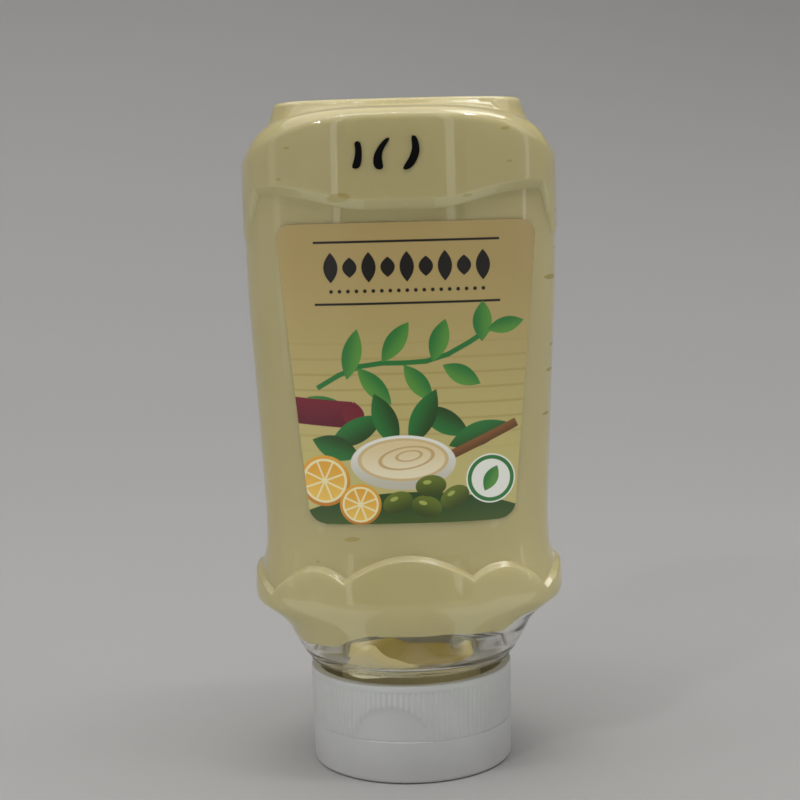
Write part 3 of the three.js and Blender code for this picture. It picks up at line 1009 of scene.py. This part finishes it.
@dataclass(frozen=True)
class Bottle:
    """The clear bottle: neck, ring over the cap, flaring shoulder, belly, panel, band and base."""

    neck_radius: float = 18
    bore: float = 16
    neck_end: float = 12.4
    lip: float = 0.6
    floor: float = 27
    floor_width: float = 7.6
    floor_rise: float = 0.9
    ring_radius: float = 26
    ring_under: float = 25.3
    ring_thickness: float = 0.6
    ring_seat: float = 1
    flare_end: float = 41.5

    def flare_rows(self, inset: float, step: float) -> list[Ring]:
        """Rows of the shoulder between the ring and the belly's edge.

        Args:
            inset: How far the rows lie inside the outer face.
            step: Distance between rows.

        Returns:
            The rows, from the lowest up.
        """
        start, end = FORM.ring_height + 2 * self.ring_thickness, self.flare_end
        count = round((end - start) / step)
        rows = [FORM.wall_ring(lambda t, z=mix(start, end, k / count): z, inset) for k in range(count + 1)]
        for share in (0.4, 0.75) if step > 1 else (0.2, 0.4, 0.6, 0.8):
            rows.append(FORM.wall_ring(lambda t, s=share: mix(end, self.below_edge(t), s), inset))
        return rows

    @staticmethod
    def below_edge(turn: float) -> float:
        """Height at which the close rows of the belly's edge begin."""
        return FORM.scallop_height(turn) - FORM.edge_run

    def outside(self) -> list[Ring]:
        """Rows of the outer face, from the neck's end up to the base's pole."""
        neck_top = FORM.ring_height - self.ring_seat
        ring_low = FORM.ring_height - self.ring_thickness
        rows = [FORM.round_ring(self.neck_radius, mix(self.neck_end, neck_top, k / 4)) for k in range(5)]
        rows.append(FORM.round_ring(self.ring_under, ring_low))
        middle = FORM.ring_height - self.ring_thickness / 2
        for k in range(7):
            angle = math.radians(-80 + 160 * k / 6)
            reach = self.ring_radius - self.ring_thickness / 2 * (1 - math.cos(angle))
            rows.append(FORM.round_ring(reach, middle + self.ring_thickness / 2 * math.sin(angle)))
        rows += self.flare_rows(0, 0.75)
        rows += FORM.body_rows(0, True)
        return [*rows, *FORM.base_rows(0)]

    def inside(self) -> list[Ring]:
        """Rows of the inner face, from the bore up to the pole under the base."""
        rows = [
            FORM.round_ring(self.bore, self.neck_end),
            FORM.round_ring(self.bore, self.floor - self.lip),
        ]
        for k in range(1, 4):
            angle = k / 3 * math.pi / 2
            reach = self.bore + self.lip * (1 - math.cos(angle))
            rows.append(FORM.round_ring(reach, self.floor - self.lip * (1 - math.sin(angle))))
        rows.append(FORM.round_ring(self.bore + self.floor_width, self.floor + self.floor_rise))
        rows += self.flare_rows(FORM.wall, 1.5)
        rows += FORM.body_rows(FORM.wall, False)
        return [*rows, *FORM.base_rows(FORM.wall)]

    def build(self) -> None:
        """Makes the clear shell."""
        skin = Skin.grown([*reversed(self.inside()), *self.outside()])
        piece = skin.finished("clear_bottle", ClearPlastic().build(), sharp=50)
        hand_over(piece, "clear_plastic", "bottle")


@dataclass(frozen=True)
class Contents:
    """The filling, sunk halfway into the wall so that no air shows, and what clings in the neck."""

    sunk: float = 0.4
    level: float = 36
    front_rise: float = 2
    left_dip: float = 3.15
    bank: float = 4.8
    bank_turn: float = 5
    ripple: float = 0.35
    dome: float = 5
    swell: float = 0.9
    plug_low: float = 12.6
    plug_top: float = 26.6
    plug_spill: float = 27.8
    plug_columns: int = 96
    plug_rings: int = 28
    pit_depth: float = 3.6
    pit_at: tuple[float, float] = (1.5, 1.3)
    pit_size: tuple[float, float] = (15.6, 16.2)
    bore: float = 16.25
    lump_angle: float = -120
    lump_reach: float = 19.4
    lump_half_width: float = 6.6
    lump_half_depth: float = 4.9
    lump_height: float = 5.4
    lump_foot: float = 27
    tail_length: float = 5.5
    tail_curl: float = 2.6
    tail_thinning: float = 0.62

    def edge(self, turn: float) -> float:
        """Height at which the filling's lower edge meets the wall."""
        wave = math.sin(3 * turn + 0.6) + 0.6 * math.sin(7 * turn + 2) + 0.35 * math.sin(13 * turn)
        torn = noise.noise(Vector((5 * math.cos(turn), 5 * math.sin(turn), 0.3)))
        dip = self.left_dip * ease(-math.cos(turn) / 0.8)
        rise = self.bank * ease((math.cos(turn - math.radians(self.bank_turn)) - 0.6) / 0.12)
        return self.level - self.front_rise * math.sin(turn) - dip + rise + self.ripple * (wave + 2 * torn)

    def filling_rows(self) -> list[Ring]:
        """Rows of the filling from the middle of its underside up to the base."""
        rim = FORM.wall_ring(self.edge, self.sunk)
        rows: list[Ring] = [[Vector((0, 0, self.level + self.dome))]]
        for share in (0.1, 0.2, 0.3, 0.42, 0.54, 0.66, 0.76, 0.85, 0.92, 0.965):
            ring = []
            for turn, edge in zip(FORM.columns, rim):
                swell = self.swell * math.sin(5 * turn + 4 * share) * share * (1 - share) * 2
                height = mix(self.level + self.dome, edge.z, share**2.2) + swell
                ring.append(Vector((edge.x * share, edge.y * share, height)))
            rows.append(ring)
        rows.append(rim)
        count = 16
        for k in range(1, count):
            rows.append(FORM.wall_ring(lambda t, s=k / count: self.between(t, s), self.sunk))
        return [*rows, *FORM.body_rows(self.sunk, True), *FORM.base_rows(self.sunk)]

    def between(self, turn: float, share: float) -> float:
        """Height of a row between the filling's edge and the belly's edge."""
        return mix(self.edge(turn), FORM.scallop_height(turn) - FORM.edge_run, share)

    def plug_top_at(self, x: float, y: float) -> float:
        """Height of the plug's top, which rises under the lump and has a pit in its middle."""
        share = math.hypot(x, y) / self.bore
        turn = math.atan2(y, x)
        near = ease((math.cos(turn - math.radians(self.lump_angle)) - 0.35) / 0.6)
        off = math.hypot((x - self.pit_at[0]) / self.pit_size[0], (y - self.pit_at[1]) / self.pit_size[1])
        off += 0.1 * math.sin(3 * turn + 1) + 0.05 * math.sin(7 * turn)
        top = mix(self.plug_top, self.plug_spill, near * share**1.5) + 0.2 * math.sin(5 * turn) * share
        return top - self.pit_depth * (1 - ease((off - 0.72) / 0.34))

    def plug_rows(self) -> list[Ring]:
        """Rows of the plug in the neck."""
        turns = [k / self.plug_columns * math.tau for k in range(self.plug_columns)]
        around = [(math.cos(t), math.sin(t)) for t in turns]
        rows: list[Ring] = [[Vector((0, 0, self.plug_low))]]
        rows.append([Vector((self.bore * x, self.bore * y, self.plug_low)) for x, y in around])
        for k in range(self.plug_rings):
            reach = self.bore * (1 - k / self.plug_rings)
            flat = [(reach * x, reach * y) for x, y in around]
            rows.append([Vector((x, y, self.plug_top_at(x, y))) for x, y in flat])
        return [*rows, [Vector((0, 0, self.plug_top_at(0, 0)))]]

    def lump(self) -> bmesh.types.BMesh:
        """The lump that slumped over the neck's edge, with its tail along the hole's front."""
        mesh = bmesh.new()
        bmesh.ops.create_uvsphere(mesh, u_segments=64, v_segments=40, radius=1)
        angle = math.radians(self.lump_angle)
        reach = self.lump_reach
        centre = Vector((reach * math.cos(angle), reach * math.sin(angle), self.lump_foot))
        for vert in mesh.verts:
            x, y, z = vert.co
            out, side = x * self.lump_half_depth, y * self.lump_half_width
            tail = max(0.0, y)
            side += self.tail_length * tail**2
            up = max(z, -0.25) * self.lump_height * (1 - self.tail_thinning * tail)
            out -= self.tail_curl * tail**2
            ripple = noise.noise(Vector((x, y, z)) * 1.7) * 0.5
            local = Vector((out, side, up + ripple * (0.4 + z)))
            turned = Matrix.Rotation(angle, 3, "Z") @ local
            vert.co = (centre + turned) * MM
        return mesh

    @staticmethod
    def filling_cream() -> Cream:
        """Finish of the filling, with the larger voids that show on the front and at its right."""
        front = (
            Speck(-26.1, 155.3, 0.8, 0.28),
            Speck(-28.3, 148.1, 0.55, 0.3),
            Speck(25.1, 158.6, 1.1, 0.42),
            Speck(26.0, 151.0, 0.7, 0.3),
            Speck(-14.3, 143.4, 2.9, 1.1),
            Speck(15.9, 143.3, 1.2, 0.4),
            Speck(-13.5, 61.6, 1.95, 0.6),
            Speck(-22.0, 56.0, 0.4, 0.3),
        )
        side = (
            Speck(-8.5, 139.3, 2.0, 0.5),
            Speck(-8.5, 135.9, 1.8, 0.5),
            Speck(-9.0, 130.2, 2.0, 0.45),
            Speck(-12.5, 123.2, 4.2, 0.65),
            Speck(-8.5, 115.5, 1.4, 0.3),
            Speck(-10.0, 106.5, 2.4, 0.45),
            Speck(-11.0, 100.3, 3.0, 0.5),
            Speck(-13.0, 89.6, 2.2, 0.45),
        )
        pale, deep, oil = paint("#eadda8"), paint("#e6d9a1"), paint("#dac67c")
        # the filling carries a painted glow, in the place of light scattered inside the cream
        return Cream("mayonnaise_finish", pale, deep, oil, specks=front, side_specks=side, glow=0.3)

    @staticmethod
    def plug_cream() -> Cream:
        """Finish of the plug in the neck, duller than the filling, with a painted glow, and olive in its
        hollow from the oil's tint and painted shade.
        """
        return Cream(
            "neck_mayonnaise_finish",
            paint("#cbc193"),
            paint("#c0b586"),
            paint("#b7a04c"),
            roughness=0.3,
            # painted glow lifts the plug, which sits in shade inside the neck
            glow=0.25,
            glow_within=(16.2, 16.2),
            # dark olive of the hollow: the oil's tint with painted shade
            pit=paint("#8f7d12"),
        )

    @staticmethod
    def lump_cream() -> Cream:
        """Finish of the lump, paler than the filling, with a faint painted glow."""
        pale, deep, oil = paint("#f2eac6"), paint("#e9e0b4"), paint("#d0bf7a")
        # faint painted glow, as in the filling
        return Cream("lump_finish", pale, deep, oil, roughness=0.35, glow=0.04)

    def build(self) -> None:
        """Makes the filling, the plug and the lump."""
        filling = Skin.grown(self.filling_rows()).finished("filling", self.filling_cream().build(), 70)
        hand_over(filling, "mayonnaise", "mayonnaise")
        plug = Skin.grown(self.plug_rows()).finished("neck_plug", self.plug_cream().build(), 70)
        hand_over(plug, "mayonnaise", "neck_mayonnaise")
        lump = Skin(self.lump()).finished("neck_lump", self.lump_cream().build())
        hand_over(lump, "mayonnaise", "neck_mayonnaise")


@dataclass(frozen=True)
class Closure:
    """The ribbed screw cap with its thumb recess, and the smooth lid that the bottle stands on."""

    cap_radius: float = 25.8
    cap_height: float = 24.7
    wall: float = 2.2
    deck: float = 1.6
    rim_band: float = 1.5
    ribs: int = 116
    rib_depth: float = 0.23
    parting: float = 10.5
    gap: float = 0.025
    rim_round: float = 0.35
    lip: float = 0.2
    lid_radius: float = 25.5
    lid_edge: float = 0.9
    thumb_angle: float = -102.5
    thumb_half_width: float = 10
    thumb_height: float = 8.9
    thumb_depth: float = 0.85

    def outer(self, turn: float, height: float, rib: float) -> float:
        """Radius of the cap's ribbed wall, with the thumb recess scooped out of it.

        Args:
            turn: Turn round the cap.
            height: Height on the cap.
            rib: 1 on a rib, 0 in a groove.

        Returns:
            The radius.
        """
        top = self.cap_height - self.rim_band
        lean = self.lip * (top - height) / (top - self.parting)
        fade = ease((top - height) / 0.5)
        radius = self.cap_radius - 0.02 - lean - self.rib_depth * (1 - rib) * fade
        off = (turn - math.radians(self.thumb_angle) + math.pi) % math.tau - math.pi
        across = off * self.cap_radius / self.thumb_half_width
        up = (height - self.parting) / self.thumb_height
        inside = 1 - across**2 - up**2
        if inside <= 0:
            return radius
        scoop = self.cap_radius - self.lip - self.thumb_depth * math.sqrt(inside)
        return min(radius, scoop)

    def cap_rows(self) -> list[Ring]:
        """Rows of the cap, from the floor inside it up over its rim and down its ribbed wall."""
        count = self.ribs * 4
        turns = [k / count * math.tau for k in range(count)]

        def circle(radius: float, height: float) -> Ring:
            """A plain round row."""
            return [Vector((radius * math.cos(t), radius * math.sin(t), height)) for t in turns]

        low = self.parting + self.gap / 2
        inner, top = self.cap_radius - self.wall, self.cap_height
        floor = low + self.deck
        rows = [[Vector((0, 0, floor))], circle(inner, floor), circle(inner, top - self.lip)]
        rows += [circle(inner + self.lip, top), circle(self.cap_radius - self.rim_round, top)]
        for k in range(1, 4):
            angle = k / 3 * math.pi / 2
            reach = self.cap_radius - self.rim_round * (1 - math.sin(angle))
            rows.append(circle(reach, top - self.rim_round * (1 - math.cos(angle))))
        edge = top - self.rim_band
        rows.append(circle(self.cap_radius, edge + 0.05))
        steps = 26
        for k in range(steps + 1):
            height = mix(edge, low + 0.08, (k / steps) ** 1.15)
            ring = []
            for i, t in enumerate(turns):
                radius = self.outer(t, height, (1.0, 1.0, 0.0, 0.0)[i % 4])
                ring.append(Vector((radius * math.cos(t), radius * math.sin(t), height)))
            rows.append(ring)
        last = [Vector((p.x * 0.997, p.y * 0.997, low)) for p in rows[-1]]
        return [*rows, last, [Vector((0, 0, low))]]

    def lid_rows(self) -> list[Ring]:
        """Rows of the lid, from its underside up to the parting."""
        turns = [k / 192 * math.tau for k in range(192)]
        top = self.parting - self.gap / 2
        profile = []
        for k in range(7):
            angle = k / 6 * math.pi / 2
            reach = self.lid_radius - self.lid_edge * (1 - math.sin(angle))
            profile.append((reach, self.lid_edge * (1 - math.cos(angle))))
        profile += [(self.lid_radius + 0.04, 5.0), (self.lid_radius + 0.06, top - 0.4)]
        profile += [(self.lid_radius + 0.06, top - 0.04), (self.lid_radius, top)]
        rings = [[Vector((r * math.cos(t), r * math.sin(t), z)) for t in turns] for r, z in profile]
        return [[Vector((0, 0, 0))], *rings, [Vector((0, 0, top))]]

    def build(self) -> None:
        """Makes the cap and the lid."""
        plastic = WhitePlastic().build()
        cap = Skin.grown(self.cap_rows()).finished("ribbed_cap", plastic, sharp=35)
        hand_over(cap, "cap_plastic", "cap")
        lid = Skin.grown(self.lid_rows()).finished("flip_lid", plastic, sharp=45)
        hand_over(lid, "cap_plastic", "lid")


@dataclass(frozen=True)
class Patch:
    """A thin film that lies on a broad side, given by where its grid points stand."""

    name: str
    side: Side
    steps: tuple[int, int]
    lift: float
    thickness: float

    def point(self, x: float, z: float, out: float) -> Vector:
        """Point over the wall at a place on a broad side."""
        width, depth, squareness = (FORM.along(z, k) for k in (1, 2, 3))
        bend = math.copysign(abs(x / width) ** (squareness / 2), x)
        turn = math.acos(min(max(bend, -1), 1))
        rise = FORM.relief(turn, z) + out
        px, py = FORM.oval_point(width, depth, squareness, turn, rise)
        side = -self.side.value
        return Vector((px * side, -py * side, z))

    def build(self, place: Place, finish: bpy.types.Material) -> bpy.types.Object:
        """Makes the film.

        Args:
            place: Gives the flat x and z of a grid point from its two shares.
            finish: The film's material.

        Returns:
            The film, a closed thin solid.
        """
        mesh = bmesh.new()
        across, up = self.steps
        bmesh.ops.create_grid(mesh, x_segments=across, y_segments=up, size=0.5)
        grown = bmesh.ops.extrude_face_region(mesh, geom=list(mesh.faces), use_keep_orig=True)["geom"]
        outer = {g for g in grown if isinstance(g, bmesh.types.BMVert)}
        for vert in mesh.verts:
            x, z = place(vert.co.x + 0.5, vert.co.y + 0.5)
            out = self.lift + (self.thickness if vert in outer else 0.0)
            vert.co = self.point(x, z, out) * MM
        return Skin(mesh).finished(self.name, finish, sharp=60)


@dataclass(frozen=True)
class Labels:
    """The two labels, which taper downwards and have round corners."""

    top: float = 137.4
    bottom: float = 65.4
    top_width: float = 62.4
    bottom_width: float = 49.4
    corner: float = 4
    shift: float = 1.3

    def flat(self, u: float, v: float, shift: float) -> tuple[float, float]:
        """Flat place of a grid point on the label."""
        z = mix(self.bottom, self.top, ease(v) * 0.5 + v * 0.5)
        full = mix(self.bottom_width, self.top_width, (z - self.bottom) / (self.top - self.bottom)) / 2
        short = max(0.0, self.corner - min(z - self.bottom, self.top - z))
        half = full - self.corner + math.sqrt(max(0.0, self.corner**2 - short**2))
        return mix(-half, half, u) + shift, z

    def build(self) -> None:
        """Makes both labels."""
        film = PrintedFilm(self.shift).build()
        for side, shift in ((Side.FRONT, self.shift), (Side.BACK, 0.0)):
            patch = Patch(f"label_film_{side.name.lower()}", side, (72, 96), -0.03, 0.13)
            label = patch.build(lambda u, v, s=shift: self.flat(u, v, s), film)
            hand_over(label, "label_film", f"label_{side.name.lower()}")


@dataclass(frozen=True)
class PenStrokes:
    """Three plain strokes of a thick felt pen on the band: each bends from its foot to its head."""

    strokes: tuple[Stroke, ...] = (
        (-10.0, 149.9, -9.4, 156.3, 0.5),
        (-4.4, 149.6, -2.2, 156.9, -1.3),
        (1.6, 149.4, 3.6, 157.3, 1.3),
    )
    half_width: float = 1.1

    def along(self, stroke: Stroke, u: float, v: float) -> tuple[float, float]:
        """Flat place of a point of a stroke, at a share across it and a share along it."""
        x0, z0, x1, z1, bend = stroke
        round_end = math.sqrt(max(0.0, 1 - abs(2 * v - 1) ** 7))
        width = self.half_width * (0.86 + 0.2 * math.sin(3 * v + x0)) * round_end
        middle = mix(x0, x1, v) + bend * math.sin(math.pi * v)
        return middle + mix(-width, width, u), mix(z0, z1, v)

    def build(self) -> None:
        """Makes the strokes."""
        ink = PlainFinish("pen_ink", paint("#030203"), paint("#050406"), 0.75, 500, 0.1).build()
        for number, stroke in enumerate(self.strokes, 1):
            patch = Patch(f"pen_stroke_{number}", Side.FRONT, (10, 36), -0.02, 0.05)
            piece = patch.build(lambda u, v, s=stroke: self.along(s, u, v), ink)
            hand_over(piece, "label_film")


@dataclass(frozen=True)
class Lamp:
    """A soft lamp: where it stands, what it looks at, its size in metres and its power.

    A lamp for shine only shows in glossy faces and adds no light to dull ones.
    """

    name: str
    at: tuple[float, float, float]
    aim: tuple[float, float, float]
    size: tuple[float, float]
    power: float
    colour: tuple[float, float, float] = (1.0, 1.0, 1.0)
    shine_only: bool = False


@dataclass(frozen=True)
class Studio:
    """Camera, soft lamps and a pale floor that curves up into a round backdrop."""

    lens: float = 70.65
    camera_at: tuple[float, float, float] = (-0.0011, -0.3978, 0.1385)
    pitch: float = 6.64
    roll: float = 1.5
    floor_reach: float = 0.5
    sweep: float = 1.7
    backdrop_height: float = 1.9
    floor_sink: float = 0.0001
    lamps: tuple[Lamp, ...] = (
        Lamp("ceiling_lamp", (-0.2, 0.1, 1.95), (0, 0, 0), (3.0, 2.8), 28.2),
        Lamp("ceiling_strip", (0.1, -0.45, 1.9), (0, 0, 0.1), (1.3, 0.1), 6.4),
        Lamp("window_left", (-1.25, -0.15, 0.9), (0, 0, 0.1), (0.7, 0.9), 0.95),
        Lamp("window_right", (1.25, -0.15, 0.9), (0, 0, 0.1), (0.7, 0.9), 1.7),
        Lamp("small_lamp", (-0.68, -0.93, 0.96), (0, 0, 0.1), (0.09, 0.09), 1.75),
        Lamp("sparkle_left", (-0.5, -0.45, 1.5), (0, 0, 0.15), (0.06, 0.06), 1.4, shine_only=True),
        Lamp("sparkle_right", (0.55, -0.4, 1.5), (0, 0, 0.15), (0.2, 0.14), 4.4, shine_only=True),
        Lamp("table_left", (-0.125, -0.15, 0.004), (-0.125, -0.15, 1), (0.2, 0.22), 0.115, (0.9, 1.0, 0.9)),
        Lamp("table_right", (0.125, -0.15, 0.004), (0.125, -0.15, 1), (0.2, 0.22), 0.115, (0.9, 1.0, 0.9)),
        Lamp("streak_left", (-0.155, -0.476, 0.3), (0, 0, 0.15), (0.03, 0.6), 0.08),
        Lamp("streak_right", (0.112, -0.487, 0.3), (0, 0, 0.15), (0.035, 0.6), 0.08),
        Lamp("streak_edge", (-0.45, -0.18, 0.3), (0, 0, 0.15), (0.08, 0.6), 0.08),
        Lamp("ceiling_right", (0.62, 0.2, 1.6), (0, 0, 0.15), (0.55, 0.8), 7.5, shine_only=True),
        Lamp("streak_side", (0.47, -0.16, 0.3), (0, 0, 0.15), (0.05, 0.6), 0.12),
    )
    card_at: float = -0.56
    card_foot: float = 0.02
    card_size: tuple[float, float] = (0.4, 0.95)
    room_light: float = 0.155

    def camera(self) -> None:
        """Sets the camera where the photographer stood."""
        data = bpy.data.cameras.new("camera")
        data.lens = self.lens
        data.sensor_width = 36
        data.clip_start = 0.01
        camera = bpy.data.objects.new("camera", data)
        tilt = Matrix.Rotation(math.radians(90 - self.pitch), 4, "X")
        lean = Matrix.Rotation(math.radians(-self.roll), 4, "Z")
        camera.matrix_world = Matrix.Translation(self.camera_at) @ tilt @ lean
        bpy.context.scene.collection.objects.link(camera)
        bpy.context.scene.camera = camera

    def light(self) -> None:
        """Sets up the lamps and the room's own light."""
        for lamp in self.lamps:
            data = bpy.data.lights.new(lamp.name, "AREA")
            data.shape = "RECTANGLE"
            data.size, data.size_y = lamp.size
            data.energy = lamp.power
            data.color = lamp.colour
            holder = bpy.data.objects.new(lamp.name, data)
            holder.location = lamp.at
            direction = Vector(lamp.aim) - Vector(lamp.at)
            holder.rotation_euler = direction.to_track_quat("-Z", "Y").to_euler()
            holder.visible_camera = False
            holder.visible_diffuse = not lamp.shine_only
            bpy.context.scene.collection.objects.link(holder)
        world = bpy.data.worlds.new("room")
        world.use_nodes = True
        light = world.node_tree.nodes["Background"].inputs
        light["Color"].default_value = (0.98, 0.99, 1.0, 1.0)
        light["Strength"].default_value = self.room_light
        bpy.context.scene.world = world

    def backdrop(self) -> None:
        """Makes the floor and the round backdrop it curves up into."""
        mesh = bmesh.new()
        bmesh.ops.create_circle(mesh, cap_ends=True, cap_tris=True, segments=96, radius=self.floor_reach)
        edges = [e for e in mesh.edges if e.is_boundary]
        rings = []
        for k in range(1, 17):
            angle = k / 16 * math.pi / 2
            reach = self.floor_reach + self.sweep * math.sin(angle)
            rings.append((reach, self.sweep * (1 - math.cos(angle))))
        rings.append((self.floor_reach + self.sweep, self.backdrop_height))
        for radius, height in rings:
            grown = bmesh.ops.extrude_edge_only(mesh, edges=edges)["geom"]
            edges = [g for g in grown if isinstance(g, bmesh.types.BMEdge)]
            for vert in (g for g in grown if isinstance(g, bmesh.types.BMVert)):
                flat = vert.co.xy.normalized() * radius
                vert.co = Vector((flat.x, flat.y, height))
        bmesh.ops.translate(mesh, verts=mesh.verts, vec=(0, 0, -self.floor_sink))
        floor = set_out(mesh, "pale_floor", FloorFinish().build())
        floor.data.shade_smooth()

    def shade_card(self) -> None:
        """Stands a dark card behind the camera, where the photographer kept the light away."""
        mesh = bmesh.new()
        bmesh.ops.create_grid(mesh, x_segments=1, y_segments=1, size=0.5)
        bmesh.ops.scale(mesh, verts=mesh.verts, vec=(*self.card_size, 1))
        turn = Matrix.Rotation(math.radians(90), 3, "X")
        bmesh.ops.rotate(mesh, verts=mesh.verts, matrix=turn)
        height = self.card_foot + self.card_size[1] / 2
        bmesh.ops.translate(mesh, verts=mesh.verts, vec=(0, self.card_at, height))
        dark = PlainFinish("dark_card_finish", paint("#2a2a2c"), paint("#29292b"), 0.9, 6)
        card = set_out(mesh, "dark_card", dark.build())
        card.visible_camera = False

    def build(self) -> None:
        """Sets up the whole studio."""
        self.camera()
        self.light()
        self.backdrop()
        self.shade_card()
        view = bpy.context.scene.view_settings
        view.view_transform = "Standard"
        view.look = "None"


def main() -> None:
    """Builds the studio and dresses every piece in order."""
    logging.basicConfig(level=logging.INFO, format="%(message)s")
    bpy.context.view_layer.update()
    Studio().build()
    Contents().build()
    Bottle().build()
    Labels().build()
    PenStrokes().build()
    Closure().build()


if __name__ == "__main__":
    main()
